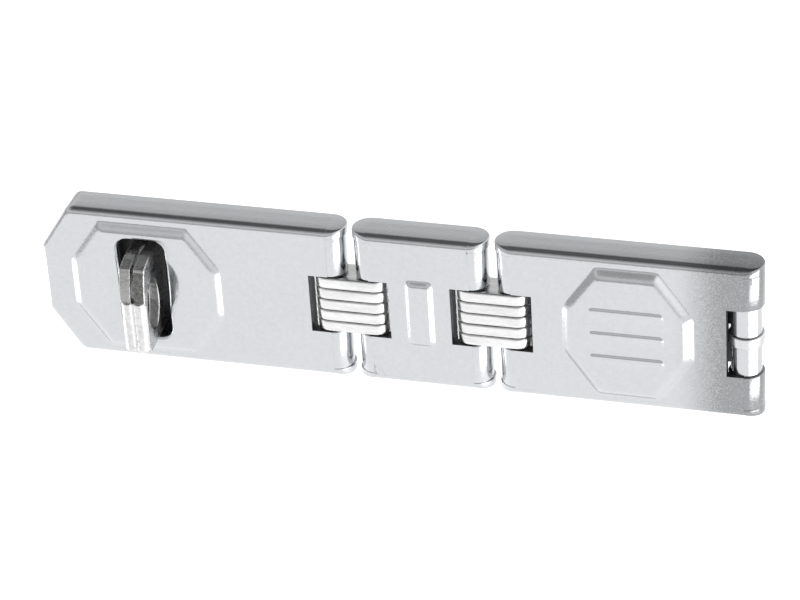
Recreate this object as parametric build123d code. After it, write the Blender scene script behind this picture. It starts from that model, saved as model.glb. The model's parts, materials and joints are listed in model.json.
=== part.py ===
from build123d import *
import os

# Hasp and staple with two swivel joints, closed against a door and its frame.
# Frame: X runs along the hasp from the staple end (-X) to the hinge end (+X), Z is up along the
# hinge pins, and the fronts face -Y.  Y = 0 is the wood that both plates are screwed to, and the
# origin is the centre of the hinge plate's four screw holes on that surface.  Millimetres.

# ---------- Driving dimensions ----------
LINK_WIDTH = 45.0  # over the two flanges
LINK_DEPTH = 9.6  # front face to the flange edges
LINK_SHEET = 2.4
LINK_BEND = 2.0  # outside radius where the front turns into a flange
DOOR_GAP = 0.3  # flange edges to the wood

TIP_X = -160.0  # staple end of the hasp
PIN_A_X = -80.0
PIN_B_X = -68.9
PIN_C_X = -41.7
PIN_D_X = -30.6
HINGE_X = 30.2

LINK_PIN_R = 2.0
ROLL_R = 4.4  # outside of the sheet rolled round a link pin
ROLL_INSET = 0.05  # a roll's surface sits this far behind the flat front
NOTCH_REACH = 5.35  # pin axis to the notch's far edge
TAIL_REACH = 7.8  # pin axis to the end of the sheet folded back behind the notch
NOTCH_HALF = 8.6
GRIP_GAP = 0.03  # radial, where a pin is held fast
TURN_GAP = 0.06  # radial, where a part turns on its pin

LAMINATIONS = 5
LAMINATION_STEP = 3.32
LAMINATION_GAP = 0.12
LAMINATION_R = 4.3
LAMINATION_REACH = 0.55  # centre of a plate's round end, beyond the pin
LAMINATION_EDGE = 0.4

TIP_CHAMFER_X = 8.6
TIP_CHAMFER_Z = 13.2
TIP_CORNER_R = 3.2

SLOT_CENTRE_X = -131.1
SLOT_WIDTH = 13.2
SLOT_HEIGHT = 30.0
SLOT_CENTRE_Z = 0.3
SLOT_CORNER_R = 3.2
DISH_R = 10.4  # round hollow that clears a shackle beside the slot
DISH_DEPTH = 1.1
DISH_CENTRE_Z = 2.5

SLOT_OCTAGON = (-151.5, -109.3, 8.6, 19.5, 7.2)  # low x, high x, corner run, half height, side half
SLOT_OCTAGON_RISE = 1.5
END_OCTAGON = (-17.4, 17.4, 9.0, 19.4, 6.7)
END_OCTAGON_RISE = 1.9
RIB_LENGTH = 20.0
RIB_WIDTH = 2.6
RIB_PITCH = 7.0
RIB_RISE = 0.4

BAR_WIDTH = 7.6
BAR_HEIGHT = 20.0
BAR_CORNER_R = 2.0
BAR_RISE = 1.1

PLATE_SHEET = 2.0
HINGE_PIN_R = 2.1
OUTER_KNUCKLE_R = 4.75
INNER_KNUCKLE_R = 4.1
HINGE_NOTCH_REACH = 4.4
HINGE_NOTCH_HALF = 10.1
KNUCKLE_GAP = 0.15  # end gap between neighbouring knuckles
RING_ROOM = 0.3  # between the ring and the hinge plate's tongue
RING_HEIGHT = 3.2
HINGE_PLATE_X = (-22.0, 23.0)
HINGE_PLATE_HALF = 17.5
HINGE_HOLES = (30.0, 24.0)

STAPLE_PLATE_SHEET = 2.4
STAPLE_PLATE_X = (-151.0, -103.0)
STAPLE_PLATE_HALF = 19.4
STAPLE_HOLES = (33.0, 24.0)
SCREW_R = 2.3
SCREW_HEAD_R = 3.9
PLATE_CORNER = 5.0

EYE_WIDTH = 6.9  # over both layers
EYE_LAYER = 3.0
EYE_REACH = 11.5  # front of the link to the front of the fold
EYE_TOP = 12.4
EYE_BOTTOM = -14.5
FOLD_TOP = 1.5  # above this the two layers end in separate sheared edges
FOLD_LOBE_R = 1.95
EYE_HOLE_CENTRE = (4.0, -2.2)  # out from the front of the link, and up
EYE_HOLE_HALF = (4.2, 7.5)
EYE_TENON = (-9.0, 8.0)

# ---------- Derived places ----------
FRONT_Y = -(LINK_DEPTH + DOOR_GAP)
FLANGE_EDGE_Y = -DOOR_GAP
LINK_PIN_Y = FRONT_Y + ROLL_R + ROLL_INSET
HINGE_Y = FRONT_Y + OUTER_KNUCKLE_R + ROLL_INSET
HALF_WIDTH = LINK_WIDTH / 2
INNER_HALF = HALF_WIDTH - LINK_SHEET
FLANGE_END_R = LINK_DEPTH / 2
PIN_HALF = INNER_HALF - 0.1
SLACK = 10.0  # how far a cutting solid runs past what it cuts


# ---------- Helpers ----------
def front_prism(sketch, y_front, y_back):
    """Solid whose outline is drawn in X and Z, between two depths."""
    plane = Plane(origin=(0, y_back, 0), x_dir=(1, 0, 0), z_dir=(0, -1, 0))
    return extrude(plane * sketch, amount=y_back - y_front)


def upright_prism(sketch, z_low, z_high):
    """Solid whose outline is drawn in X and Y, between two heights."""
    return extrude(Pos(0, 0, z_low) * sketch, amount=z_high - z_low)


def side_prism(sketch, x_low, x_high):
    """Solid whose outline is drawn in Y and Z, between two places along X."""
    plane = Plane(origin=(x_low, 0, 0), x_dir=(0, 1, 0), z_dir=(1, 0, 0))
    return extrude(plane * sketch, amount=x_high - x_low)


def block(x_low, x_high, y_low, y_high, z_low, z_high):
    size = (x_high - x_low, y_high - y_low, z_high - z_low)
    centre = ((x_low + x_high) / 2, (y_low + y_high) / 2, (z_low + z_high) / 2)
    return Pos(*centre) * Box(*size)


def round_bar(x, y, radius, z_low, z_high):
    return upright_prism(Pos(x, y) * Circle(radius), z_low, z_high)


def polygon(points):
    return make_face(Polyline(*points, close=True))


def front_edges(solid):
    return solid.faces().sort_by(Axis.Y)[0].edges()


def octagon(low_x, high_x, run, half_height, side_half):
    """Long octagon with upright sides, its corners cut back by run along X."""
    return polygon([
        (low_x, side_half),
        (low_x + run, half_height),
        (high_x - run, half_height),
        (high_x, side_half),
        (high_x, -side_half),
        (high_x - run, -half_height),
        (low_x + run, -half_height),
        (low_x, -side_half),
    ])


# ---------- Link shells ----------
def tray(outline):
    """Sheet tray, open at the back, from its outside outline in X and Z."""
    outer = front_prism(outline, FRONT_Y, FLANGE_EDGE_Y)
    outer = fillet(front_edges(outer), LINK_BEND)
    hollow = front_prism(offset(outline, -LINK_SHEET), FRONT_Y + LINK_SHEET, FLANGE_EDGE_Y + SLACK)
    hollow = fillet(front_edges(hollow), LINK_BEND / 4)
    return outer - hollow


def cut_ends(shell, low_x, high_x):
    """The stretch of a shell between two places along X."""
    return shell & block(low_x, high_x, FRONT_Y - SLACK, SLACK, -HALF_WIDTH - SLACK, HALF_WIDTH + SLACK)


def flange_ends(pin_x, side):
    """Half-round ends of the top and bottom flanges; side is +1 towards +X."""
    disc = Pos(pin_x, FRONT_Y + FLANGE_END_R) * Circle(FLANGE_END_R)
    half = disc & (Pos(pin_x + side * SLACK / 2, FRONT_Y) * Rectangle(SLACK, 4 * SLACK))
    return upright_prism(half, INNER_HALF, HALF_WIDTH) + upright_prism(half, -HALF_WIDTH, -INNER_HALF)


def folded_sheet(pin_x, side, pin_y):
    """Sheet folded round the outer side of a pin, with a flat tail along the back."""
    disc = Pos(pin_x, pin_y) * Circle(ROLL_R)
    half = disc & (Pos(pin_x + side * SLACK / 2, pin_y) * Rectangle(SLACK, 4 * SLACK))
    tail_x = pin_x - side * TAIL_REACH
    back_y = pin_y + ROLL_R - ROLL_INSET
    fold = upright_prism(half, -INNER_HALF, INNER_HALF)
    fold += block(
        min(tail_x, pin_x), max(tail_x, pin_x),
        back_y - LINK_SHEET, back_y,
        -INNER_HALF, INNER_HALF,
    )
    return fold


def rolled_end(shell, pin_x, side, pin_y, roll_r, bore_r, notch_reach, notch_half, folded=False):
    """Adds the sheet turned round a pin, the flange ends and the notch for what swivels there."""
    if folded:
        shell += folded_sheet(pin_x, side, pin_y)
    inner_x = pin_x - side * notch_reach
    outer_x = pin_x + side * SLACK
    shell -= block(
        min(inner_x, outer_x), max(inner_x, outer_x),
        FRONT_Y - SLACK, SLACK,
        -notch_half, notch_half,
    )
    if not folded:
        shell += round_bar(pin_x, pin_y, roll_r, notch_half, INNER_HALF)
        shell += round_bar(pin_x, pin_y, roll_r, -INNER_HALF, -notch_half)
    shell += flange_ends(pin_x, side)
    return shell - round_bar(pin_x, pin_y, bore_r, -INNER_HALF, INNER_HALF)


def link_roll(shell, pin_x, side):
    return rolled_end(
        shell, pin_x, side, LINK_PIN_Y, ROLL_R, LINK_PIN_R + GRIP_GAP, NOTCH_REACH, NOTCH_HALF,
        folded=True,
    )


def raised_panel(shell, outline, rise, bevel_angle=45):
    """Presses an outline out of the front; the back follows it, so the sheet keeps its thickness."""
    plane = Plane(origin=(0, FRONT_Y, 0), x_dir=(1, 0, 0), z_dir=(0, -1, 0))
    shell += extrude(plane * outline, amount=rise, taper=bevel_angle)
    inset = offset(outline, -LINK_SHEET / 2)
    back_plane = Plane(origin=(0, FRONT_Y + LINK_SHEET, 0), x_dir=(1, 0, 0), z_dir=(0, -1, 0))
    return shell - extrude(back_plane * inset, amount=rise, taper=bevel_angle)


def tip_outline():
    """Outline of the slotted link: a half-octagon tip, and a straight run past its open end."""
    corner_z = HALF_WIDTH - TIP_CHAMFER_Z
    points = [
        (TIP_X, corner_z),
        (TIP_X + TIP_CHAMFER_X, HALF_WIDTH),
        (PIN_A_X + SLACK, HALF_WIDTH),
        (PIN_A_X + SLACK, -HALF_WIDTH),
        (TIP_X + TIP_CHAMFER_X, -HALF_WIDTH),
        (TIP_X, -corner_z),
    ]
    face = polygon(points)
    corners = face.vertices().sort_by(Axis.X)[:4]
    return fillet(corners, TIP_CORNER_R)


def straight_outline(low_x, high_x):
    centre = (low_x + high_x) / 2
    return Pos(centre, 0) * Rectangle(high_x - low_x + 2 * SLACK, LINK_WIDTH)


def slotted_link():
    shell = cut_ends(tray(tip_outline()), TIP_X - SLACK, PIN_A_X)
    shell = link_roll(shell, PIN_A_X, 1)
    shell = raised_panel(shell, octagon(*SLOT_OCTAGON), SLOT_OCTAGON_RISE)
    top_y = FRONT_Y - SLOT_OCTAGON_RISE
    dish_sphere_r = (DISH_R**2 + DISH_DEPTH**2) / (2 * DISH_DEPTH)
    shell -= Pos(SLOT_CENTRE_X, top_y + DISH_DEPTH - dish_sphere_r, DISH_CENTRE_Z) * Sphere(dish_sphere_r)
    slot = Pos(SLOT_CENTRE_X, SLOT_CENTRE_Z) * RectangleRounded(SLOT_WIDTH, SLOT_HEIGHT, SLOT_CORNER_R)
    return shell - front_prism(slot, FRONT_Y - SLACK, SLACK)


def middle_link():
    shell = cut_ends(tray(straight_outline(PIN_B_X, PIN_C_X)), PIN_B_X, PIN_C_X)
    shell = link_roll(shell, PIN_B_X, -1)
    shell = link_roll(shell, PIN_C_X, 1)
    centre = (PIN_B_X + PIN_C_X) / 2
    bar = Pos(centre, 0) * RectangleRounded(BAR_WIDTH, BAR_HEIGHT, BAR_CORNER_R)
    return raised_panel(shell, bar, BAR_RISE)


def end_link():
    shell = cut_ends(tray(straight_outline(PIN_D_X, HINGE_X)), PIN_D_X, HINGE_X)
    shell = link_roll(shell, PIN_D_X, -1)
    shell = rolled_end(
        shell, HINGE_X, 1, HINGE_Y, OUTER_KNUCKLE_R, HINGE_PIN_R + GRIP_GAP,
        HINGE_NOTCH_REACH, HINGE_NOTCH_HALF,
    )
    shell = raised_panel(shell, octagon(*END_OCTAGON), END_OCTAGON_RISE)
    top_y = FRONT_Y - END_OCTAGON_RISE
    for row in (-1, 0, 1):
        rib = Pos(0, row * RIB_PITCH) * SlotOverall(RIB_LENGTH, RIB_WIDTH)
        shell += front_prism(rib, top_y - RIB_RISE, top_y + RIB_RISE)
    return shell


# ---------- Pins and laminations ----------
def link_pin(x):
    return chamfer(round_bar(x, LINK_PIN_Y, LINK_PIN_R, -PIN_HALF, PIN_HALF).edges(), LAMINATION_EDGE)


def lamination(low_pin_x, high_pin_x, index):
    """One plate of a connector: two pin holes, round ends and broken edges."""
    middle_x = (low_pin_x + high_pin_x) / 2
    pitch = high_pin_x - low_pin_x + 2 * LAMINATION_REACH
    centre_z = (LAMINATIONS - 1) / 2 * LAMINATION_STEP - index * LAMINATION_STEP
    half_thick = (LAMINATION_STEP - LAMINATION_GAP) / 2
    outline = Pos(middle_x, LINK_PIN_Y) * SlotCenterToCenter(pitch, 2 * LAMINATION_R)
    plate = upright_prism(outline, centre_z - half_thick, centre_z + half_thick)
    ends = plate.faces().sort_by(Axis.Z)
    plate = fillet(ends[0].edges() + ends[-1].edges(), LAMINATION_EDGE)
    for pin_x in (low_pin_x, high_pin_x):
        plate -= round_bar(pin_x, LINK_PIN_Y, LINK_PIN_R + TURN_GAP, -HALF_WIDTH, HALF_WIDTH)
    return plate


# ---------- Hinge ----------
def screw_holes(plate, centre_x, spacings, sheet):
    """Four countersunk holes on a rectangle, heads on the front."""
    for side_x in (-1, 1):
        for side_z in (-1, 1):
            place = (centre_x + side_x * spacings[0] / 2, side_z * spacings[1] / 2)
            plate -= front_prism(Pos(*place) * Circle(SCREW_R), -SLACK, SLACK)
            head_depth = SCREW_HEAD_R - SCREW_R
            plane = Plane(origin=(place[0], -sheet, place[1]), x_dir=(1, 0, 0), z_dir=(0, 1, 0))
            plate -= extrude(plane * Circle(SCREW_HEAD_R), amount=head_depth, taper=45)
    return plate


def plate_blank(span, half_height, sheet):
    """Flat plate on the wood with cut corners."""
    corner = PLATE_CORNER
    low_x, high_x = span
    outline = octagon(low_x, high_x, corner, half_height, half_height - corner)
    return front_prism(outline, -sheet, 0)


def hinge_plate():
    plate = plate_blank(HINGE_PLATE_X, HINGE_PLATE_HALF, PLATE_SHEET)
    plate = screw_holes(plate, 0, HINGE_HOLES, PLATE_SHEET)
    knuckle_half = HINGE_NOTCH_HALF - KNUCKLE_GAP
    lift = -(HINGE_Y + INNER_KNUCKLE_R)  # how far the rolled tongue stands off the wood
    bend_low_x = HINGE_PLATE_X[1] - 2.0
    bend_high_x = bend_low_x + 4.0
    tongue = polygon([
        (bend_low_x - 3.0, 0),
        (bend_low_x, 0),
        (bend_high_x, -lift),
        (HINGE_X, -lift),
        (HINGE_X, -lift - PLATE_SHEET),
        (bend_high_x, -lift - PLATE_SHEET),
        (bend_low_x, -PLATE_SHEET),
        (bend_low_x - 3.0, -PLATE_SHEET),
    ])
    plate += upright_prism(tongue, -knuckle_half, knuckle_half)
    plate += round_bar(HINGE_X, HINGE_Y, INNER_KNUCKLE_R, -knuckle_half, knuckle_half)
    plate -= round_bar(HINGE_X, HINGE_Y, HINGE_PIN_R + TURN_GAP, -knuckle_half, knuckle_half)
    ring_half = RING_HEIGHT / 2 + KNUCKLE_GAP
    ring_room_x = HINGE_X - OUTER_KNUCKLE_R - RING_ROOM
    return plate - block(ring_room_x, HINGE_X + SLACK, -3 * SLACK, SLACK, -ring_half, ring_half)


def hinge_ring():
    ring = round_bar(HINGE_X, HINGE_Y, OUTER_KNUCKLE_R - 0.05, -RING_HEIGHT / 2, RING_HEIGHT / 2)
    ring = fillet(ring.edges(), LAMINATION_EDGE)
    return ring - round_bar(HINGE_X, HINGE_Y, HINGE_PIN_R + TURN_GAP, -RING_HEIGHT, RING_HEIGHT)


def hinge_pin():
    return chamfer(round_bar(HINGE_X, HINGE_Y, HINGE_PIN_R, -PIN_HALF, PIN_HALF).edges(), LAMINATION_EDGE)


# ---------- Staple ----------
def staple_plate():
    plate = plate_blank(STAPLE_PLATE_X, STAPLE_PLATE_HALF, STAPLE_PLATE_SHEET)
    plate = screw_holes(plate, sum(STAPLE_PLATE_X) / 2, STAPLE_HOLES, STAPLE_PLATE_SHEET)
    half = EYE_WIDTH / 2 + TURN_GAP
    low_z, high_z = EYE_TENON
    return plate - block(
        SLOT_CENTRE_X - half, SLOT_CENTRE_X + half, -SLACK, SLACK, low_z - TURN_GAP, high_z + TURN_GAP
    )


def eye_outline():
    """Side view of the eye in Y and Z: crowned top, sheared upper edge, fold and tenon."""
    nose_y = FRONT_Y - EYE_REACH
    foot_y = -STAPLE_PLATE_SHEET
    low_z, high_z = EYE_TENON
    shear_y = nose_y + 0.6
    brow = (nose_y + 2.6, EYE_TOP - 1.4)
    brow_middle = (nose_y + 1.3, (FOLD_TOP + EYE_TOP - 1.4) / 2)
    crown = (nose_y + EYE_REACH, EYE_TOP)
    crown_middle = (nose_y + 7.0, EYE_TOP - 0.25)
    chin = (nose_y, EYE_BOTTOM + 2.0)
    chin_middle = (nose_y + 0.6, EYE_BOTTOM + 0.6)
    chin_end = (nose_y + 2.0, EYE_BOTTOM)
    line = [
        Polyline((foot_y, high_z), (foot_y, EYE_TOP), crown),
        ThreePointArc(crown, crown_middle, brow),
        ThreePointArc(brow, brow_middle, (shear_y, FOLD_TOP)),
        Polyline((shear_y, FOLD_TOP), (nose_y, FOLD_TOP), chin),
        ThreePointArc(chin, chin_middle, chin_end),
        Polyline(
            chin_end, (FRONT_Y, EYE_BOTTOM + 0.9), (foot_y, EYE_BOTTOM + 1.0),
            (foot_y, low_z), (-TURN_GAP, low_z),
            (-TURN_GAP, high_z), (foot_y, high_z),
        ),
    ]
    return make_face(line)


def staple_eye():
    """One strip folded double: two layers with a fold at the front of the lower part."""
    low_x = SLOT_CENTRE_X - EYE_WIDTH / 2
    high_x = SLOT_CENTRE_X + EYE_WIDTH / 2
    nose_y = FRONT_Y - EYE_REACH
    lobe_y = nose_y + FOLD_LOBE_R
    tall = (EYE_BOTTOM - 1.0, EYE_TOP + 1.0)
    layers = block(low_x, low_x + EYE_LAYER, nose_y, 0, *tall)
    layers += block(high_x - EYE_LAYER, high_x, nose_y, 0, *tall)
    layers -= block(low_x - 1, high_x + 1, nose_y - 1, lobe_y, tall[0] - 1, FOLD_TOP)
    for lobe_x in (low_x + FOLD_LOBE_R, high_x - FOLD_LOBE_R):
        layers += round_bar(lobe_x, lobe_y, FOLD_LOBE_R, tall[0], FOLD_TOP)
    eye = layers & side_prism(eye_outline(), low_x - 1, high_x + 1)
    hole = Pos(FRONT_Y - EYE_HOLE_CENTRE[0], EYE_HOLE_CENTRE[1]) * Ellipse(*EYE_HOLE_HALF)
    return eye - side_prism(hole, low_x - 1, high_x + 1)


# ---------- Export ----------
def export(name, part):
    export_step(part, f"parts/{name}.step")


def main():
    os.makedirs("parts", exist_ok=True)
    export("slotted_link", slotted_link())
    export("middle_link", middle_link())
    export("end_link", end_link())
    for letter, pin_x in zip("abcd", (PIN_A_X, PIN_B_X, PIN_C_X, PIN_D_X)):
        export(f"link_pin_{letter}", link_pin(pin_x))
    for letter, pins in (("a", (PIN_A_X, PIN_B_X)), ("b", (PIN_C_X, PIN_D_X))):
        for index in range(LAMINATIONS):
            export(f"connector_{letter}_plate_{index + 1}", lamination(*pins, index))
    export("hinge_plate", hinge_plate())
    export("hinge_ring", hinge_ring())
    export("hinge_pin", hinge_pin())
    export("staple_plate", staple_plate())
    export("staple_eye", staple_eye())


main()
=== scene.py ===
import json
import math
import bmesh
import bpy
from mathutils import Matrix, Vector, noise
from mathutils.geometry import delaunay_2d_cdt


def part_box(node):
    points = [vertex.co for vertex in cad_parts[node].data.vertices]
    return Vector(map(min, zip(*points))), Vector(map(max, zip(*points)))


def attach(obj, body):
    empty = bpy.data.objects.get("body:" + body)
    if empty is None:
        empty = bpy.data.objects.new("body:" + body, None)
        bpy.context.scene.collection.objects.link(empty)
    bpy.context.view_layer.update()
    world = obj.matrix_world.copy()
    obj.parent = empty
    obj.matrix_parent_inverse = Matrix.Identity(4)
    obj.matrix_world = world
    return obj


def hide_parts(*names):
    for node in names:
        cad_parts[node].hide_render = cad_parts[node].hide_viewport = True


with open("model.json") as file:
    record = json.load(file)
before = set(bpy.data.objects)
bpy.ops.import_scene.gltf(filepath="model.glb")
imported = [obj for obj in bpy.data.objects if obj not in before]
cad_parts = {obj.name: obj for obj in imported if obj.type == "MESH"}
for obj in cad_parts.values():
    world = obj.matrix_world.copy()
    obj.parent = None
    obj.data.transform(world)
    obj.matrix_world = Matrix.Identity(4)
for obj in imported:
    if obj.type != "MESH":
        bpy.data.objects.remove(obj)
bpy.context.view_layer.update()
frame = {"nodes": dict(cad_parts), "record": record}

MM = 0.001


# ---------- Places read from the frame, in millimetres ----------
def joint_place(name):
    for joint in frame["record"]["behaviour"]["joints"]:
        if joint["name"] == name:
            return Vector(joint["pos_m"]) / MM
    raise KeyError(name)


def node_box(name):
    low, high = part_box(name)
    return Vector(low) / MM, Vector(high) / MM


PINS = {letter: joint_place("swivel_" + letter) for letter in "abcd"}
HINGE = joint_place("end_hinge")
TIP_X = node_box("slotted_link")[0].x
HALF_WIDTH = node_box("slotted_link")[1].z
BACK = node_box("slotted_link")[1].y

# ---------- Dimensions, in millimetres ----------
LINK_PIN_R = 2.0
HINGE_PIN_R = 2.1
GRIP_GAP = 0.03  # radial, round a pin that is held fast
ROLL_R = 4.4
KNUCKLE_R = 4.75
ROLL_INSET = 0.05  # a roll's surface behind the flat front
SHEET = 2.4
BEND = 2.0
INNER_BEND = 0.7
SHEARED_EDGE = 0.35
BURR_EDGE = 0.15
FRONT = PINS["a"].y - ROLL_R - ROLL_INSET
INNER_HALF = HALF_WIDTH - SHEET
FLANGE_END_R = (BACK - FRONT) / 2
NOTCH_HALF = 8.6
NOTCH_REACH = 5.35  # pin axis to the notch's far edge
TAIL_REACH = 7.8  # pin axis to the end of the sheet folded behind the notch
HINGE_NOTCH_HALF = 10.1
HINGE_NOTCH_REACH = 4.4
TIP_CHAMFER = (8.6, 13.2)  # along the link and across it
TIP_CORNER_R = 3.2
RIPPLE = 0.03  # unevenness of the flat sheet
SKIN_SPACING = 1.0
RING_SPACING = 0.9
INNER_RING_SPACING = 1.8
INNER_INSET = 0.8  # a pressing is this much smaller all round on the inside

SLOT_X = -131.1
SLOT_Z = 0.3
SLOT_SIZE = (13.2, 30.0)
SLOT_CORNER = 3.2
SLOT_LIP = 0.9  # radius at which the front rolls over into the slot
SLOT_PANEL = {"low_x": -151.5, "high_x": -109.3, "run": 8.6, "half_height": 19.5, "side_half": 7.2}
SLOT_PANEL_RISE = 1.5
SLOT_PANEL_BEVEL = 2.3
SLOT_PANEL_CORNER_R = 1.2
DISH_R = 10.4
DISH_DEPTH = 1.1
DISH_Z = 2.5
DISH_LINES = (-0.15, 0.15, 0.5)  # mesh lines this far inside the dish's edge

BAR_HALF = (3.8, 10.0)
BAR_RISE = 1.05
BAR_BEVEL = 1.3
BAR_CORNER_R = 1.6
BAR_SOFTNESS = 0.5

END_PANEL = {"low_x": -17.4, "high_x": 17.4, "run": 9.0, "half_height": 19.4, "side_half": 6.7}
END_PANEL_RISE = 1.9
END_PANEL_BEVEL = 2.4
END_PANEL_CORNER_R = 1.6
END_PANEL_SOFTNESS = 0.35
RIB_SIZE = (20.0, 2.6)
RIB_PITCH = 7.0
RIB_RISE = 0.38
RIB_BEVEL = 0.7
RIB_LINES = (-0.1, 0.15, 0.4, 0.65, 0.9)  # mesh lines this far inside a rib's edge

PLATE_SLACK = 0.17  # room between a connector plate and its neighbour
PLATE_EDGES = (0.25, 0.5)  # rounding of a connector plate's lower and upper edge
PLATE_HOLE_EDGE = 0.1
PLATE_HOLE_R = LINK_PIN_R + 0.06
PLATE_WOBBLE = 0.05
RING_EDGE = 0.35
ROLL_EDGE = 0.3

EYE_WIDTH = 6.9
EYE_LAYER = 3.0
EYE_NOSE = FRONT - 11.5
EYE_TOP = 12.4
EYE_BOTTOM = -14.5
EYE_BROW = (2.6, 1.4)  # the brow's place behind the nose and below the top
FOLD_TOP = 1.5  # above this the two strips end in separate sheared edges
LOBE_R = 1.95
LOBE_EDGE = 1.2
EYE_HOLE_OUT = 4.0  # centre of the shackle hole, in front of the link
EYE_HOLE_Z = -2.2
EYE_HOLE_HALF = (4.2, 7.5)
EYE_TENON = 9.0
TENON_BACK = -0.1
EYE_VOXEL = 0.2
EYE_KEPT_SHARE = 0.35  # of its triangles, after the remesh
EYE_ROUGH = 0.06
EYE_WAVE = 0.05
TORN_TOP = EYE_TOP - 2.2  # the torn front of the right-hand strip ends here

# ---------- Camera and studio: metres, degrees ----------
CAMERA_TARGET = Vector((-62.4, -3.9, -0.2)) * MM
CAMERA_DISTANCE = 0.9402
CAMERA_YAW = 17.14
CAMERA_PITCH = 32.33
CAMERA_ROLL = -3.82
CAMERA_LENS = 160.7
LIGHT_TARGET = Vector((-0.06, 0.0, 0.0))
FLOOR_Z = -0.45
FLOOR_HALF = 4.0
FLOOR_GLOW = 1.0
FLOOR_TONE = 0.45
SKY_LOW = 0.55
SKY_STOPS = ((0.3, 0.8), (0.45, 0.9), (0.56, 0.64), (0.7, 0.5), (0.84, 0.2), (0.93, 0.1))
SKY_TOP = 0.18
SKY_SIDE = (0.25, 0.75, 2.2)  # the sky brightens between the first two along X, up to the third


# ---------- Outlines ----------
def rounded_path(corners, radii, spacing, closed=True):
    """Samples (point, outward normal) along a counter-clockwise path with rounded corners."""
    corners = [Vector(corner) for corner in corners]
    count = len(corners)
    edges = count if closed else count - 1
    directions = [(corners[(i + 1) % count] - corners[i]).normalized() for i in range(edges)]
    turns, trims = [0.0] * count, [0.0] * count
    for i in range(count):
        if radii[i] > 0:
            before, after = directions[i - 1], directions[i]
            turns[i] = math.atan2(before.x * after.y - before.y * after.x, before.dot(after))
            trims[i] = radii[i] * math.tan(abs(turns[i]) / 2)
    samples = []
    for i in range(edges):
        after = (i + 1) % count
        direction = directions[i]
        normal = Vector((direction.y, -direction.x))
        start = corners[i] + direction * trims[i]
        end = corners[after] - direction * trims[after]
        steps = max(1, math.ceil((end - start).length / spacing))
        samples += [(start.lerp(end, k / steps), normal) for k in range(steps + 1)]
        if radii[after] > 0:
            side = 1 if turns[after] > 0 else -1
            centre = end - normal * side * radii[after]
            arc_steps = max(2, math.ceil(abs(turns[after]) / math.radians(10)))
            for k in range(1, arc_steps):
                angle = turns[after] * k / arc_steps
                turned = Matrix.Rotation(angle, 2) @ normal
                samples.append((centre + turned * side * radii[after], turned))
    return samples


def shifted(samples, inset):
    return [point - normal * inset for point, normal in samples]


def distinct(points, gap=1e-4):
    kept = []
    for point in points:
        if not kept or (point - kept[-1]).length > gap:
            kept.append(point)
    if len(kept) > 1 and (kept[0] - kept[-1]).length < gap:
        kept.pop()
    return kept


def inside(point, loop):
    found = False
    last = loop[-1]
    for here in loop:
        if (here.y > point.y) != (last.y > point.y):
            cross = (last.x - here.x) * (point.y - here.y) / (last.y - here.y) + here.x
            if point.x < cross:
                found = not found
        last = here
    return found


# ---------- Mesh building ----------
def fill_skin(mesh, boundary, holes, rings, spacing, lift, lines=()):
    """Adds a triangulated skin over a flat region; lift turns a 2-D point into its 3-D place."""
    points, edges, taken = [], [], set()
    cell = spacing * 0.55
    for loop in [boundary] + holes + rings:
        first = len(points)
        points += loop
        edges += [(first + k, first + (k + 1) % len(loop)) for k in range(len(loop))]
        for point in loop:
            column, row = round(point.x / cell), round(point.y / cell)
            taken.update((column + a, row + b) for a in (-1, 0, 1) for b in (-1, 0, 1))
    for line in lines:
        first = len(points)
        points += line
        edges += [(first + k, first + k + 1) for k in range(len(line) - 1)]
        taken.update((round(p.x / cell), round(p.y / cell)) for p in line)
    low_x, high_x = min(p.x for p in boundary), max(p.x for p in boundary)
    low_y, high_y = min(p.y for p in boundary), max(p.y for p in boundary)
    row = 0
    y = low_y + spacing / 2
    while y < high_y:
        x = low_x + spacing * (0.5 if row % 2 else 0.25)
        while x < high_x:
            point = Vector((x, y))
            if (round(x / cell), round(y / cell)) not in taken:
                if inside(point, boundary) and not any(inside(point, hole) for hole in holes):
                    points.append(point)
            x += spacing
        y += spacing * 0.87
        row += 1
    flat, _, faces, _, _, _ = delaunay_2d_cdt(points, edges, [], 0, 1e-5)
    verts = [mesh.verts.new(lift(point)) for point in flat]
    for face in faces:
        centre = sum((flat[k] for k in face), Vector((0.0, 0.0))) / len(face)
        if inside(centre, boundary) and not any(inside(centre, hole) for hole in holes):
            mesh.faces.new([verts[k] for k in face])
    for vert in [v for v in verts if not v.link_faces]:
        mesh.verts.remove(vert)


def add_strip(mesh, rows, closed=False):
    """Quads between rows of 3-D points; closed joins each row's last point to its first."""
    grid = [[mesh.verts.new(point) for point in row] for row in rows]
    count = len(rows[0])
    for upper, lower in zip(grid, grid[1:]):
        for k in range(count if closed else count - 1):
            after = (k + 1) % count
            mesh.faces.new((upper[k], upper[after], lower[after], lower[k]))
    return grid


def finish_solid(mesh, name):
    """Welds, closes and scales a mesh in millimetres, and returns its object."""
    bmesh.ops.remove_doubles(mesh, verts=mesh.verts, dist=0.002)
    loose = [v for v in mesh.verts if not v.link_faces]
    bmesh.ops.delete(mesh, geom=loose, context="VERTS")
    rims = [edge for edge in mesh.edges if len(edge.link_faces) == 1]
    bmesh.ops.holes_fill(mesh, edges=rims, sides=0)
    bmesh.ops.triangulate(mesh, faces=[face for face in mesh.faces if len(face.verts) > 4])
    bmesh.ops.recalc_face_normals(mesh, faces=mesh.faces)
    bmesh.ops.scale(mesh, vec=(MM, MM, MM), verts=mesh.verts)
    data = bpy.data.meshes.new(name)
    mesh.to_mesh(data)
    mesh.free()
    obj = bpy.data.objects.new(name, data)
    bpy.context.scene.collection.objects.link(obj)
    return obj


def replace_mesh(obj):
    """Applies the object's modifiers."""
    graph = bpy.context.evaluated_depsgraph_get()
    data = bpy.data.meshes.new_from_object(obj.evaluated_get(graph))
    obj.modifiers.clear()
    old = obj.data
    obj.data = data
    bpy.data.meshes.remove(old)


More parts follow.
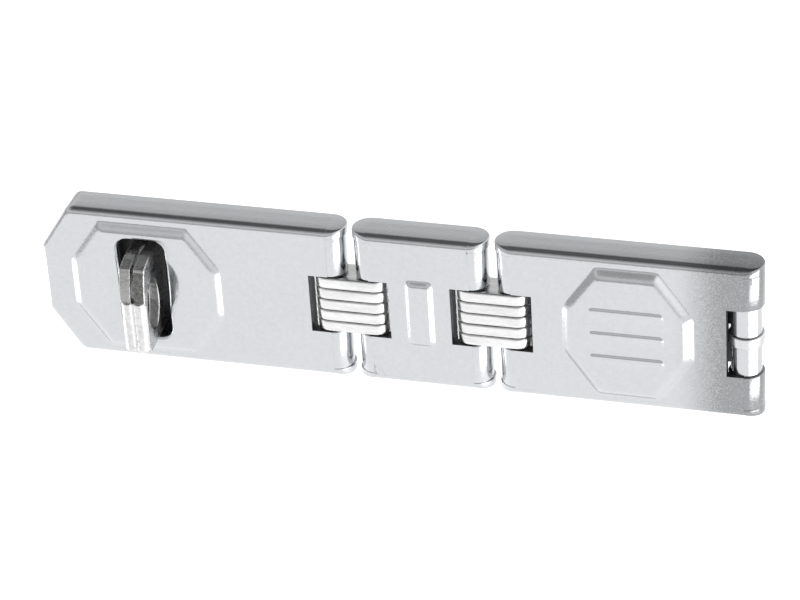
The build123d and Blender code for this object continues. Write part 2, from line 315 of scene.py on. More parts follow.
def combine(base, others, operation="UNION"):
    """Joins the others to base, or cuts them from it, and removes them."""
    for other in others:
        modifier = base.modifiers.new("combine", "BOOLEAN")
        modifier.operation = operation
        modifier.solver = "EXACT"
        modifier.object = other
        replace_mesh(base)
        bpy.data.objects.remove(other, do_unlink=True)
    return base


def smooth(obj, degrees=32):
    obj.data.polygons.foreach_set("use_smooth", [True] * len(obj.data.polygons))
    obj.data.set_sharp_from_angle(angle=math.radians(degrees))


# ---------- Pressed shapes ----------
def soft_ramp(t, low_blend, high_blend):
    """0 to 1 as t goes 0 to 1, with rounded corners at both ends."""
    if t <= -low_blend:
        return 0.0
    if t < low_blend:
        return (t + low_blend) ** 2 / (4 * low_blend)
    if t <= 1 - high_blend:
        return t
    if t < 1 + high_blend:
        return 1 - (1 + high_blend - t) ** 2 / (4 * high_blend)
    return 1.0


class Pressing:
    """A convex outline pushed out of the sheet with a bevel all round."""

    LOW_BLEND = 0.18
    HIGH_BLEND = 0.45
    STEP = 0.3

    def __init__(self, corners, rise, bevel, corner_r, softness=0.25):
        self.corners = [Vector(corner) for corner in corners]
        self.rise = rise
        self.bevel = bevel
        self.corner_r = corner_r
        self.softness = softness
        count = len(corners)
        self.planes = []
        for i in range(count):
            a, b = self.corners[i], self.corners[(i + 1) % count]
            direction = (b - a).normalized()
            self.planes.append((a, Vector((direction.y, -direction.x))))

    def depth(self, point):
        """Distance inside the outline, with rounded corners."""
        distances = [(corner - point).dot(normal) for corner, normal in self.planes]
        nearest = min(distances)
        total = sum(math.exp(-(d - nearest) / self.softness) for d in distances)
        return nearest - self.softness * math.log(total)

    def height(self, point, inset=0.0):
        ramp = soft_ramp((self.depth(point) - inset) / self.bevel, self.LOW_BLEND, self.HIGH_BLEND)
        return self.rise * ramp

    def rings(self, spacing, inset=0.0):
        """Closed mesh lines that follow the outline across its bevel."""
        count = len(self.corners)
        low, high = -self.LOW_BLEND * self.bevel, (1 + self.HIGH_BLEND) * self.bevel
        steps = max(6, math.ceil((high - low) / self.STEP))
        made = []
        for k in range(steps + 1):
            shift = inset + low + (high - low) * k / steps
            moved = []
            for i in range(count):
                (a, n), (b, m) = self.planes[i - 1], self.planes[i]
                first, second = (a - n * shift).dot(n), (b - m * shift).dot(m)
                determinant = n.x * m.y - n.y * m.x
                moved.append(((first * m.y - second * n.y) / determinant,
                              (n.x * second - m.x * first) / determinant))
            samples = rounded_path(moved, [self.corner_r] * count, spacing)
            made.append(distinct([point for point, _ in samples]))
        return made


def octagon(low_x, high_x, run, half_height, side_half):
    return [
        (low_x, side_half), (low_x, -side_half), (low_x + run, -half_height), (high_x - run, -half_height),
        (high_x, -side_half), (high_x, side_half), (high_x - run, half_height), (low_x + run, half_height),
    ]


# ---------- Link shells ----------
def notch_points(pin_x, side, reach, half, top_first):
    """Corners of a notch seen from the front, from one end of its mouth to the other."""
    inner = pin_x - side * reach
    points = [(pin_x, half), (inner, half), (inner, -half), (pin_x, -half)]
    return points if top_first else points[::-1]


def tray(name, runs, holes, height, inner_height, rings, inner_rings, spacing, lines=()):
    """Sheet tray open at the back.

    runs go round counter-clockwise: ("flange", samples of the outside outline) where the sheet
    turns back, and ("open", points) along an open end and round its notch. The inside and the
    notch's walls take the piece's second material, which paints them dark as painted shade.
    """
    mesh = bmesh.new()
    inner_level = HALF_WIDTH - SHEET - INNER_BEND

    def front_lift(point):
        return (point.x, FRONT - height(point), point.y)

    def inner_lift(point):
        return (point.x, FRONT + SHEET - inner_height(point), point.y)

    front_edge, inner_edge = [], []
    for kind, run in runs:
        if kind == "flange":
            front_edge += shifted(run, BEND)
            inner_edge += shifted(run, SHEET + INNER_BEND)
        else:
            front_edge += run
            inner_edge += [Vector((p.x, min(max(p.y, -inner_level), inner_level))) for p in run]
    fill_skin(mesh, distinct(front_edge), holes, rings, spacing, front_lift, lines)
    outside = len(mesh.faces)
    fill_skin(mesh, distinct(inner_edge), holes, inner_rings, spacing * 2, inner_lift)
    for kind, run in runs:
        if kind == "open":
            for start, end in notch_runs(run):
                part = run[start:end]
                add_strip(mesh, [[front_lift(p) for p in part], [inner_lift(p) for p in part]])
    # The inner skin and the notch walls take the second material: painted shade.
    mesh.faces.ensure_lookup_table()
    for face in mesh.faces[outside:]:
        face.material_index = 1
    for kind, run in runs:
        if kind == "flange":
            add_strip(mesh, flange_rows(run))
    for hole in holes:
        add_strip(mesh, [[front_lift(p) for p in hole], [inner_lift(p) for p in hole]], closed=True)
    return finish_solid(mesh, name)


def flange_rows(run):
    """Rows of points from the flat front, round the bend, over the sheared edge and back inside."""
    sections = []
    for k in range(9):
        angle = math.pi / 2 * k / 8
        sections.append((BEND * (1 - math.sin(angle)), FRONT + BEND * (1 - math.cos(angle))))
    for share in (0.33, 0.67):
        sections.append((0.0, FRONT + BEND + (BACK - SHEARED_EDGE - FRONT - BEND) * share))
    for k in range(5):
        angle = math.pi / 2 * k / 4
        sections.append((SHEARED_EDGE * (1 - math.cos(angle)), BACK - SHEARED_EDGE * (1 - math.sin(angle))))
    for k in range(4):
        angle = math.pi / 2 * k / 3
        sections.append((SHEET - BURR_EDGE * (1 - math.sin(angle)), BACK - BURR_EDGE * (1 - math.cos(angle))))
    for k in range(6):
        angle = math.pi / 2 * k / 5
        y = FRONT + SHEET + INNER_BEND * (1 - math.sin(angle))
        sections.append((SHEET + INNER_BEND * (1 - math.cos(angle)), y))
    return [[(p.x, y, p.y) for p in shifted(run, inset)] for inset, y in sections]


def notch_runs(run):
    """Index ranges of an open end's points that go round its notch."""
    ranges, start = [], None
    for k, point in enumerate(run):
        in_notch = abs(point.y) <= HINGE_NOTCH_HALF + 0.01
        if in_notch and start is None:
            start = k
        if not in_notch and start is not None:
            ranges.append((start, k))
            start = None
    return ranges


def dense(points, spacing):
    """A polyline with points added so that no step is longer than spacing."""
    made = []
    points = [Vector(point) for point in points]
    for a, b in zip(points, points[1:]):
        steps = max(1, math.ceil((b - a).length / spacing))
        made += [a.lerp(b, k / steps) for k in range(steps)]
    return made + [points[-1]]


def ring_profile(bore, radius, z_low, z_high, edge):
    """Section of a ring in radius and height, with rounded corners."""
    profile = []
    for corner_r, corner_z, start in (
        (radius - edge, z_high - edge, 0), (bore + edge, z_high - edge, 90),
        (bore + edge, z_low + edge, 180), (radius - edge, z_low + edge, 270),
    ):
        for k in range(4):
            angle = math.radians(start + 30 * k)
            profile.append((corner_r + edge * math.cos(angle), corner_z + edge * math.sin(angle)))
    return profile


def turned(name, centre, profile, side=1, start=0.0, sweep=360.0, steps=72):
    """Turns a section round an upright axis; less than a full turn has closed ends."""
    mesh = bmesh.new()
    rows = []
    for k in range(steps + 1):
        angle = math.radians(start + sweep * k / steps)
        across, along = math.cos(angle) * side, math.sin(angle)
        rows.append([(centre.x + r * across, centre.y + r * along, z) for r, z in profile])
    add_strip(mesh, rows, closed=True)
    return finish_solid(mesh, name)


def roll(name, centre, side, radius, bore, z_low, z_high):
    """Sheet rolled round a pin, starting at the front and turning towards the open end."""
    start, sweep = -97.0, 322.0
    return turned(name, centre, ring_profile(bore, radius, z_low, z_high, ROLL_EDGE), side, start, sweep)


def flange_end(name, pin_x, side, level):
    """Half-round end of a flange; the bend's rounding fades out along it."""
    mesh = bmesh.new()
    overlap, skin = 1.0, 0.01
    fade_degrees = 62
    rim = FLANGE_END_R - skin
    stations = [(-overlap, Vector((0.0, -1.0)), BEND)]
    for k in range(37):
        angle = math.pi * k / 36
        fade = max(0.0, 1 - math.degrees(angle) / fade_degrees)
        rounding = SHEARED_EDGE + (BEND - SHEARED_EDGE) * fade
        stations.append((0.0, Vector((math.sin(angle), -math.cos(angle))), rounding))
    stations.append((-overlap, Vector((0.0, 1.0)), SHEARED_EDGE))
    rows = []
    for hub_x, out, rounding in stations:
        top = HALF_WIDTH - skin
        section = [(0.0, top), (rim * 0.3, top)]
        for j in range(7):
            angle = math.pi / 2 * j / 6
            section.append((rim - rounding * (1 - math.sin(angle)), top - rounding * (1 - math.cos(angle))))
        section += [(rim, INNER_HALF + BURR_EDGE), (rim - BURR_EDGE, INNER_HALF)]
        section += [(rim * 0.3, INNER_HALF), (0.0, INNER_HALF)]
        hub_y = FRONT + FLANGE_END_R
        rows.append([(pin_x + side * (hub_x + out.x * reach), hub_y + out.y * reach, z * level)
                     for reach, z in section])
    add_strip(mesh, rows)
    return finish_solid(mesh, name)


def fold(name, centre, side, z_low, z_high):
    """Sheet folded round the outer side of a pin, with a flat tail along the back."""
    mesh = bmesh.new()
    outer, bore = ROLL_R, LINK_PIN_R + GRIP_GAP
    skin = ROLL_INSET / 2
    profile = ring_profile(bore, outer, z_low, z_high, ROLL_EDGE)
    path = [(0.5, -math.pi / 2)] + [(0.0, math.pi * k / 24 - math.pi / 2) for k in range(25)]
    path += [(TAIL_REACH * k / 6, math.pi / 2) for k in range(1, 7)]
    rows = []
    for back, angle in path:
        across, along = math.cos(angle), math.sin(angle)
        rows.append([(centre.x + side * (r * across - back), centre.y + (r - skin) * along, z)
                     for r, z in profile])
    add_strip(mesh, rows, closed=True)
    return finish_solid(mesh, name)


def link_ends(name, pin, side, radius, bore, notch_half):
    """Both rolls or folds and both flange ends at one end of a link."""
    made = []
    for level in (-1, 1):
        z_low, z_high = sorted((notch_half * level, (INNER_HALF + 0.2) * level))
        if radius == ROLL_R:
            made.append(fold(f"{name}_fold", pin, side, z_low, z_high))
        else:
            made.append(roll(f"{name}_roll", pin, side, radius, bore, z_low, z_high))
        made.append(flange_end(f"{name}_flange", pin.x, side, level))
    if radius == ROLL_R:
        tail_x, notch_x = pin.x - side * TAIL_REACH, pin.x - side * NOTCH_REACH
        back = pin.y + ROLL_R - ROLL_INSET / 2
        corners = [(tail_x, back - SHEET), (notch_x, back - SHEET), (notch_x, back), (tail_x, back)]
        made.append(upright_prism(f"{name}_tail", corners, -notch_half - 0.5, notch_half + 0.5))
    return made


def pressed_link(name, body, ends):
    combine(body, [combine(ends[0], ends[1:])])
    smooth(body)
    body.name = name
    return body


def ripple(point, seed):
    """Very slight unevenness of pressed sheet."""
    place = Vector((point.x * 0.055, point.y * 0.055, seed))
    return RIPPLE * (noise.noise(place) + 0.3 * noise.noise(place * 3.1))


def open_end(pin_x, side, reach, half):
    """Points along an open end, counter-clockwise: up the right end, down the left end."""
    notch = notch_points(pin_x, side, reach, half, side < 0)
    level = (HALF_WIDTH - BEND) * side
    return dense([(pin_x, -level)] + notch + [(pin_x, level)], 1.0)


def slotted_link():
    panel = Pressing(octagon(**SLOT_PANEL), SLOT_PANEL_RISE, SLOT_PANEL_BEVEL, SLOT_PANEL_CORNER_R)
    half_x, half_z = SLOT_SIZE[0] / 2, SLOT_SIZE[1] / 2
    slot = rounded_path([(SLOT_X - half_x, SLOT_Z + half_z), (SLOT_X - half_x, SLOT_Z - half_z),
                         (SLOT_X + half_x, SLOT_Z - half_z), (SLOT_X + half_x, SLOT_Z + half_z)],
                        [SLOT_CORNER] * 4, 0.8)
    lip_rings = []
    for k in range(1, 7):
        inset = SLOT_LIP * (1 - math.cos(math.pi / 2 * k / 6)) + 0.02
        lip_rings.append(distinct(shifted(slot, -inset)))
    dish_edge = circle_path(SLOT_X, DISH_Z, DISH_R, 90)
    dish_rings = []
    for inset in DISH_LINES:
        kept = [p for p in shifted(dish_edge, inset) if p.x > SLOT_X + half_x + SLOT_LIP + 0.35]
        dish_rings.append(sorted(kept, key=lambda p: p.y))

    def slot_distance(point):
        dx = abs(point.x - SLOT_X) - half_x + SLOT_CORNER
        dz = abs(point.y - SLOT_Z) - half_z + SLOT_CORNER
        return math.hypot(max(dx, 0), max(dz, 0)) + min(max(dx, dz), 0) - SLOT_CORNER

    def height(point):
        reach = math.hypot(point.x - SLOT_X, point.y - DISH_Z) / DISH_R
        dish = DISH_DEPTH * max(0.0, 1 - reach ** 2)
        near = max(0.0, min(1.0, slot_distance(point) / SLOT_LIP))
        rounding = SLOT_LIP * (1 - math.sqrt(1 - (1 - near) ** 2))
        return panel.height(point) - dish - rounding + ripple(point, 1.7)

    shoulder_x, cheek_z = TIP_X + TIP_CHAMFER[0], HALF_WIDTH - TIP_CHAMFER[1]
    perimeter = rounded_path(
        [(PINS["a"].x, HALF_WIDTH), (shoulder_x, HALF_WIDTH), (TIP_X, cheek_z),
         (TIP_X, -cheek_z), (shoulder_x, -HALF_WIDTH), (PINS["a"].x, -HALF_WIDTH)],
        [0, *[TIP_CORNER_R] * 4, 0], SKIN_SPACING, closed=False)
    runs = [("flange", perimeter), ("open", open_end(PINS["a"].x, 1, NOTCH_REACH, NOTCH_HALF))]
    body = tray("slotted_shell", runs, [distinct(shifted(slot, 0))], height,
                lambda point: panel.height(point, INNER_INSET), panel.rings(RING_SPACING) + lip_rings,
                panel.rings(INNER_RING_SPACING, INNER_INSET)[::2], SKIN_SPACING, dish_rings)
    ends = link_ends("slotted", PINS["a"], 1, ROLL_R, LINK_PIN_R + GRIP_GAP, NOTCH_HALF)
    return pressed_link("slotted_shell", body, ends)


def straight_runs(left, right, left_notch, right_notch):
    top_corners = [(right.x, HALF_WIDTH), (left.x, HALF_WIDTH)]
    bottom_corners = [(left.x, -HALF_WIDTH), (right.x, -HALF_WIDTH)]
    top = rounded_path(top_corners, [0, 0], SKIN_SPACING, closed=False)
    bottom = rounded_path(bottom_corners, [0, 0], SKIN_SPACING, closed=False)
    return [("flange", top), ("open", open_end(left.x, -1, *left_notch)),
            ("flange", bottom), ("open", open_end(right.x, 1, *right_notch))]


def middle_link():
    centre_x = (PINS["b"].x + PINS["c"].x) / 2
    half_x, half_z = BAR_HALF
    inner_inset = 0.6
    corners = [(centre_x - half_x, half_z), (centre_x - half_x, -half_z),
               (centre_x + half_x, -half_z), (centre_x + half_x, half_z)]
    bar = Pressing(corners, BAR_RISE, BAR_BEVEL, BAR_CORNER_R, BAR_SOFTNESS)
    notch = (NOTCH_REACH, NOTCH_HALF)
    body = tray("middle_shell", straight_runs(PINS["b"], PINS["c"], notch, notch), [],
                lambda point: bar.height(point) + ripple(point, 5.2),
                lambda point: bar.height(point, inner_inset),
                bar.rings(0.8), bar.rings(1.4, inner_inset)[::2], SKIN_SPACING)
    ends = link_ends("middle", PINS["b"], -1, ROLL_R, LINK_PIN_R + GRIP_GAP, NOTCH_HALF)
    ends += link_ends("middle", PINS["c"], 1, ROLL_R, LINK_PIN_R + GRIP_GAP, NOTCH_HALF)
    return pressed_link("middle_shell", body, ends)


def end_link():
    panel = Pressing(octagon(**END_PANEL), END_PANEL_RISE, END_PANEL_BEVEL, END_PANEL_CORNER_R,
                     END_PANEL_SOFTNESS)
    rib_rings = []
    for row in (-1, 0, 1):
        for shrink in RIB_LINES:
            half_x, half_z = RIB_SIZE[0] / 2 - shrink, RIB_SIZE[1] / 2 - shrink
            z = row * RIB_PITCH
            corners = [(-half_x, z + half_z), (-half_x, z - half_z),
                       (half_x, z - half_z), (half_x, z + half_z)]
            rib_rings.append(distinct(shifted(rounded_path(corners, [half_z * 0.98] * 4, 0.8), 0)))

    def rib_height(point):
        z = min(max(round(point.y / RIB_PITCH), -1), 1) * RIB_PITCH
        over = max(abs(point.x) - (RIB_SIZE[0] - RIB_SIZE[1]) / 2, 0)
        depth = RIB_SIZE[1] / 2 - math.hypot(over, point.y - z)
        return RIB_RISE * soft_ramp(depth / RIB_BEVEL, 0.15, 0.4)

    runs = straight_runs(PINS["d"], HINGE, (NOTCH_REACH, NOTCH_HALF), (HINGE_NOTCH_REACH, HINGE_NOTCH_HALF))
    body = tray("end_shell", runs, [],
                lambda point: panel.height(point) + rib_height(point) + ripple(point, 9.4),
                lambda point: panel.height(point, INNER_INSET), panel.rings(RING_SPACING) + rib_rings,
                panel.rings(INNER_RING_SPACING, INNER_INSET)[::2], SKIN_SPACING)
    ends = link_ends("end", PINS["d"], -1, ROLL_R, LINK_PIN_R + GRIP_GAP, NOTCH_HALF)
    ends += link_ends("end", HINGE, 1, KNUCKLE_R, HINGE_PIN_R + GRIP_GAP, HINGE_NOTCH_HALF)
    return pressed_link("end_shell", body, ends)


# ---------- Plates ----------
def plate_solid(name, outline, holes, thickness, rounding, hole_rounding, place, spacing):
    """Flat plate with rounded edges; place turns a 2-D point and a height into a 3-D place."""
    mesh = bmesh.new()
    for level, edge in ((0.0, rounding[0]), (thickness, rounding[1])):
        fill_skin(mesh, distinct(shifted(outline, edge)),
                  [distinct(shifted(hole, -hole_rounding)) for hole in holes], [], spacing,
                  lambda point, level=level: place(point, level))
    walls = [(outline, rounding, 1)] + [(hole, (hole_rounding, hole_rounding), -1) for hole in holes]
    for samples, edges, sign in walls:
        sections = []
        for k in range(6):
            angle = math.pi / 2 * k / 5
            sections.append((edges[0] * (1 - math.sin(angle)), edges[0] * (1 - math.cos(angle))))
        for k in range(6):
            angle = math.pi / 2 * k / 5
            sections.append((edges[1] * (1 - math.cos(angle)), thickness - edges[1] * (1 - math.sin(angle))))
        add_strip(mesh, [[place(p, h) for p in shifted(samples, sign * inset)] for inset, h in sections])
    return finish_solid(mesh, name)


def circle_path(x, y, radius, steps):
    """Samples (point, outward normal) once round a circle."""
    samples = []
    for k in range(steps + 1):
        angle = 2 * math.pi * k / steps
        normal = Vector((math.cos(angle), math.sin(angle)))
        samples.append((Vector((x, y)) + normal * radius, normal))
    return samples


def lamination(name, first, second):
    """One connector plate, on two pins."""
    low, high = node_box(name)
    radius = (high.y - low.y) / 2
    y = (high.y + low.y) / 2
    outline = rounded_path([(low.x, high.y), (low.x, low.y), (high.x, low.y), (high.x, high.y)],
                           [radius * 0.999] * 4, 0.8)
    holes = [circle_path(pin.x, y, PLATE_HOLE_R, 32) for pin in (first, second)]
    seed = low.z * 1.37 + low.x * 0.21

    def place(point, level):
        wobble = PLATE_WOBBLE * noise.noise(Vector((point.x * 0.25, point.y * 0.25, seed)))
        return (point.x, point.y, low.z + level + (wobble if level > 1 else 0.0))

    thickness = high.z - low.z - PLATE_SLACK
    made = plate_solid(name + "_body", outline, holes, thickness, PLATE_EDGES, PLATE_HOLE_EDGE, place, 1.2)
    smooth(made, 40)
    return made


# ---------- Staple eye and hinge ring ----------
def arc_through(start, middle, end, steps=8):
    """Points of a smooth curve from start through middle to end, without start itself."""
    start, middle, end = Vector(start), Vector(middle), Vector(end)
    control = middle * 2 - (start + end) / 2
    made = []
    for k in range(1, steps + 1):
        t = k / steps
        made.append(start * (1 - t) ** 2 + control * 2 * t * (1 - t) + end * t ** 2)
    return made


def prism(name, outline, low_x, high_x):
    """Solid between two planes of constant X, from an outline in Y and Z."""
    mesh = bmesh.new()
    add_strip(mesh, [[(x, y, z) for y, z in outline] for x in (low_x, high_x)], closed=True)
    return finish_solid(mesh, name)


def upright_prism(name, outline, low_z, high_z):
    """Solid between two levels, from an outline in X and Y."""
    mesh = bmesh.new()
    add_strip(mesh, [[(x, y, z) for x, y in outline] for z in (low_z, high_z)], closed=True)
    return finish_solid(mesh, name)


def eye_side_outline():
    """The eye seen from the side, in Y and Z, with its tenon at the back."""
    brow_z = EYE_TOP - EYE_BROW[1]
    line = [Vector((-SHEET, EYE_TOP)), Vector((FRONT, EYE_TOP))]
    line += arc_through(line[-1], (EYE_NOSE + 7.0, EYE_TOP - 0.25), (EYE_NOSE + EYE_BROW[0], brow_z))
    line += arc_through(line[-1], (EYE_NOSE + 1.3, (FOLD_TOP + brow_z) / 2), (EYE_NOSE + 0.6, FOLD_TOP))
    line += [Vector((EYE_NOSE, FOLD_TOP - 0.3)), Vector((EYE_NOSE, EYE_BOTTOM + 2.0))]
    line += arc_through(line[-1], (EYE_NOSE + 0.6, EYE_BOTTOM + 0.6), (EYE_NOSE + 2.0, EYE_BOTTOM))
    line += [Vector((FRONT, EYE_BOTTOM + 0.9)), Vector((-SHEET, EYE_BOTTOM + 1.0))]
    line += [Vector((-SHEET, -EYE_TENON)), Vector((TENON_BACK, -EYE_TENON))]
    line += [Vector((TENON_BACK, EYE_TENON - 1.0)), Vector((-SHEET, EYE_TENON - 1.0))]
    return line


def eye_lobe(centre_x):
    """The rounded front of one strip, below the top of the fold."""
    profile = [(0.0, FOLD_TOP), (0.0, EYE_BOTTOM + 0.5)]
    for k in range(7):
        angle = math.pi * k / 12
        profile.append((LOBE_R - LOBE_EDGE + LOBE_EDGE * math.sin(angle),
                        EYE_BOTTOM + 0.5 + LOBE_EDGE - LOBE_EDGE * math.cos(angle)))
    profile += [(LOBE_R, FOLD_TOP)]
    return turned("eye_lobe", Vector((centre_x, EYE_NOSE + LOBE_R, 0)), profile, steps=40)


def eye_hole(low_x, high_x):
    hole = []
    for k in range(48):
        angle = 2 * math.pi * k / 48
        hole.append((FRONT - EYE_HOLE_OUT + EYE_HOLE_HALF[0] * math.cos(angle),
                     EYE_HOLE_Z + EYE_HOLE_HALF[1] * math.sin(angle)))
    return prism("eye_hole", hole, low_x, high_x)


def eye():
    """Two strips side by side, one piece below the fold, with a hole for the shackle."""
    low_x, high_x = SLOT_X - EYE_WIDTH / 2, SLOT_X + EYE_WIDTH / 2
    outline = eye_side_outline()
    body = combine(prism("eye_layer", outline, low_x, low_x + EYE_LAYER),
                   [prism("eye_layer", outline, high_x - EYE_LAYER, high_x)])
    lobe_y = EYE_NOSE + LOBE_R
    front = [(EYE_NOSE - 1, EYE_BOTTOM - 1), (lobe_y, EYE_BOTTOM - 1),
             (lobe_y, FOLD_TOP), (EYE_NOSE - 1, FOLD_TOP)]
    combine(body, [prism("eye_front", front, low_x - 1, high_x + 1)], "DIFFERENCE")
    combine(body, [eye_lobe(low_x + LOBE_R), eye_lobe(high_x - LOBE_R)])
    web = [(EYE_NOSE + 1.1, EYE_BOTTOM + 1.2), (lobe_y + 1.2, EYE_BOTTOM + 0.6), (lobe_y + 1.2, FOLD_TOP),
           (EYE_NOSE + 1.1, FOLD_TOP)]
    combine(body, [prism("eye_web", web, low_x + 2.2, high_x - 2.2)])
    combine(body, [eye_hole(low_x - 1, high_x + 1)], "DIFFERENCE")
    remesh = body.modifiers.new("remesh", "REMESH")
    remesh.mode = "VOXEL"
    remesh.voxel_size = EYE_VOXEL * MM
    soften = body.modifiers.new("soften", "SMOOTH")
    soften.factor = 0.5
    soften.iterations = 5
    replace_mesh(body)
    roughen_eye(body.data)
    reduce = body.modifiers.new("reduce", "DECIMATE")
    reduce.ratio = EYE_KEPT_SHARE
    replace_mesh(body)
    smooth(body, 50)
    mark_sheared_faces(body.data)
    body.name = "eye_body"
    return body


def roughen_eye(data):
    """Slight waves all over, and a rougher surface towards the sheared edges."""
    mesh = bmesh.new()
    mesh.from_mesh(data)
    for vert in mesh.verts:
        place = vert.co / MM
        above = max(0.0, min(1.0, (place.z - FOLD_TOP) / 1.5 + 0.6))
        sheared = above * max(0.0, min(1.0, (FRONT - 1 - place.y) / 3))
        rough = EYE_ROUGH * noise.noise(place * 1.7) * sheared
        wave = EYE_WAVE * noise.noise(Vector((place.x * 0.35, place.y * 0.35, place.z * 0.22)))
        vert.co += vert.normal * (rough + wave) * MM
    mesh.to_mesh(data)
    mesh.free()


def mark_sheared_faces(data):
    """Gives sheared faces the second material, and the right-hand strip's torn ones the third."""
    for face in data.polygons:
        centre = face.center / MM
        on_shear = centre.z > FOLD_TOP + 0.15 and face.normal.y < -0.35 and centre.y < FRONT + 1.0
        if on_shear and abs(face.normal.x) < 0.5:
            face.material_index = 2 if centre.x > SLOT_X and centre.z < TORN_TOP else 1


def ring_body():
    low, high = node_box("hinge_ring")
    radius = (high.y - low.y) / 2
    profile = ring_profile(HINGE_PIN_R + GRIP_GAP, radius, low.z, high.z, RING_EDGE)
    made = turned("hinge_ring_body", HINGE, profile)
    smooth(made, 40)
    return made


# ---------- Materials ----------
def metal(name, colour, roughness, layers, bump, dull_from=None):
    """Bare or plated metal; dull_from is (place along X, width) of a duller, grainier stretch.

    layers are (kind, scale per metre, stretch, how much colour, how much roughness); bump is
    (scale per metre, strength, height in metres).
    """
    material = bpy.data.materials.new(name)
    material.use_nodes = True
    nodes, links = material.node_tree.nodes, material.node_tree.links
    shader = nodes["Principled BSDF"]
    shader.inputs["Metallic"].default_value = 1.0
    place = nodes.new("ShaderNodeTexCoord").outputs["Object"]
    tone, gloss = None, None
    for kind, scale, stretch, colour_share, roughness_share in layers:
        mapping = nodes.new("ShaderNodeMapping")
        mapping.inputs["Scale"].default_value = stretch
        links.new(place, mapping.inputs["Vector"])
        if kind == "cells":
            texture = nodes.new("ShaderNodeTexVoronoi")
            source = texture.outputs["Color"]
        else:
            texture = nodes.new("ShaderNodeTexNoise")
            texture.inputs["Detail"].default_value = 4.0
            source = texture.outputs["Fac"]
        texture.inputs["Scale"].default_value = scale
        links.new(mapping.outputs["Vector"], texture.inputs["Vector"])
        tone = add_share(nodes, links, source, colour_share, tone)
        gloss = add_share(nodes, links, source, roughness_share, gloss)
    if dull_from:
        tone = dull_stretch(nodes, links, place, tone, *dull_from)
    bright = nodes.new("ShaderNodeMix")
    bright.data_type = "RGBA"
    bright.inputs["A"].default_value = tuple(c * 0.5 for c in colour) + (1.0,)
    bright.inputs["B"].default_value = tuple(min(1.0, c * 1.5) for c in colour) + (1.0,)
    bright.clamp_factor = True
    centred = offset(nodes, links, tone, 0.5)
    links.new(centred, bright.inputs["Factor"])
    links.new(bright.outputs["Result"], shader.inputs["Base Color"])
    links.new(offset(nodes, links, gloss, roughness), shader.inputs["Roughness"])
    grain = nodes.new("ShaderNodeTexNoise")
    grain.inputs["Scale"].default_value = bump[0]
    grain.inputs["Detail"].default_value = 3.0
    links.new(place, grain.inputs["Vector"])
    bumps = nodes.new("ShaderNodeBump")
    bumps.inputs["Strength"].default_value = bump[1]
    bumps.inputs["Distance"].default_value = bump[2]
    links.new(grain.outputs["Fac"], bumps.inputs["Height"])
    links.new(bumps.outputs["Normal"], shader.inputs["Normal"])
    return material


def dull_stretch(nodes, links, place, tone, start, width, dull_depth=0.52):
    """Takes about dull_depth off the tone beyond a place along X, broken up by noise."""
    parts = nodes.new("ShaderNodeSeparateXYZ")
    links.new(place, parts.inputs[0])
    ramp = nodes.new("ShaderNodeMapRange")
    ramp.interpolation_type = "SMOOTHSTEP"
    ramp.inputs["From Min"].default_value = start
    ramp.inputs["From Max"].default_value = start + width
    links.new(parts.outputs["X"], ramp.inputs["Value"])
    speckle = nodes.new("ShaderNodeTexNoise")
    speckle.inputs["Scale"].default_value = 2600.0
    speckle.inputs["Detail"].default_value = 5.0
    links.new(place, speckle.inputs["Vector"])
    depth = nodes.new("ShaderNodeMapRange")
    depth.inputs["From Min"].default_value = 0.3
    depth.inputs["From Max"].default_value = 0.7
    depth.inputs["To Min"].default_value = dull_depth * 0.55
    depth.inputs["To Max"].default_value = dull_depth * 1.45
    links.new(speckle.outputs["Fac"], depth.inputs["Value"])
    amount = nodes.new("ShaderNodeMath")
    amount.operation = "MULTIPLY"
    links.new(ramp.outputs["Result"], amount.inputs[0])
    links.new(depth.outputs["Result"], amount.inputs[1])
    left = nodes.new("ShaderNodeMath")
    left.operation = "SUBTRACT"
    links.new(tone, left.inputs[0])
    links.new(amount.outputs[0], left.inputs[1])
    return left.outputs[0]


def add_share(nodes, links, source, share, total):
    """total + (source - 0.5) * share, as nodes."""
    step = nodes.new("ShaderNodeMath")
    step.operation = "MULTIPLY_ADD"
    links.new(source, step.inputs[0])
    step.inputs[1].default_value = share
    step.inputs[2].default_value = -share / 2
    if total is None:
        return step.outputs[0]
    both = nodes.new("ShaderNodeMath")
    both.operation = "ADD"
    links.new(step.outputs[0], both.inputs[0])
    links.new(total, both.inputs[1])
    return both.outputs[0]


def offset(nodes, links, source, amount):
    """source + amount, held between 0 and 1, as nodes."""
    step = nodes.new("ShaderNodeMath")
    step.operation = "ADD"
    step.use_clamp = True
    links.new(source, step.inputs[0])
    step.inputs[1].default_value = amount
    return step.outputs[0]


EVEN = (1.0, 1.0, 1.0)
PLATED_COLOUR = (0.55, 0.56, 0.575)
PLATED_LAYERS = [("noise", 60.0, EVEN, 0.06, 0.05), ("noise", 700.0, EVEN, 0.12, 0.08),
                 ("noise", 2400.0, EVEN, 0.14, 0.06)]
PLATED_BUMP = (1400.0, 0.12, 0.0002)
PLATED = metal("plated_sheet", PLATED_COLOUR, 0.17, PLATED_LAYERS, PLATED_BUMP)
PLATED_END = metal("plated_end", PLATED_COLOUR, 0.17, PLATED_LAYERS, PLATED_BUMP, (0.011, 0.017))
LAMINATED = metal("lamination_steel", (0.82, 0.82, 0.83), 0.24,
                  [("noise", 420.0, (0.12, 1.0, 1.0), 0.6, 0.14),
                   ("noise", 1500.0, (0.3, 1.0, 1.0), 0.35, 0.1)], (1800.0, 0.2, 0.0002))
PIN_STEEL = metal("pin_steel", (0.6, 0.6, 0.61), 0.22,
                  [("noise", 700.0, (1.0, 1.0, 0.2), 0.2, 0.1)], (1500.0, 0.12, 0.0002))
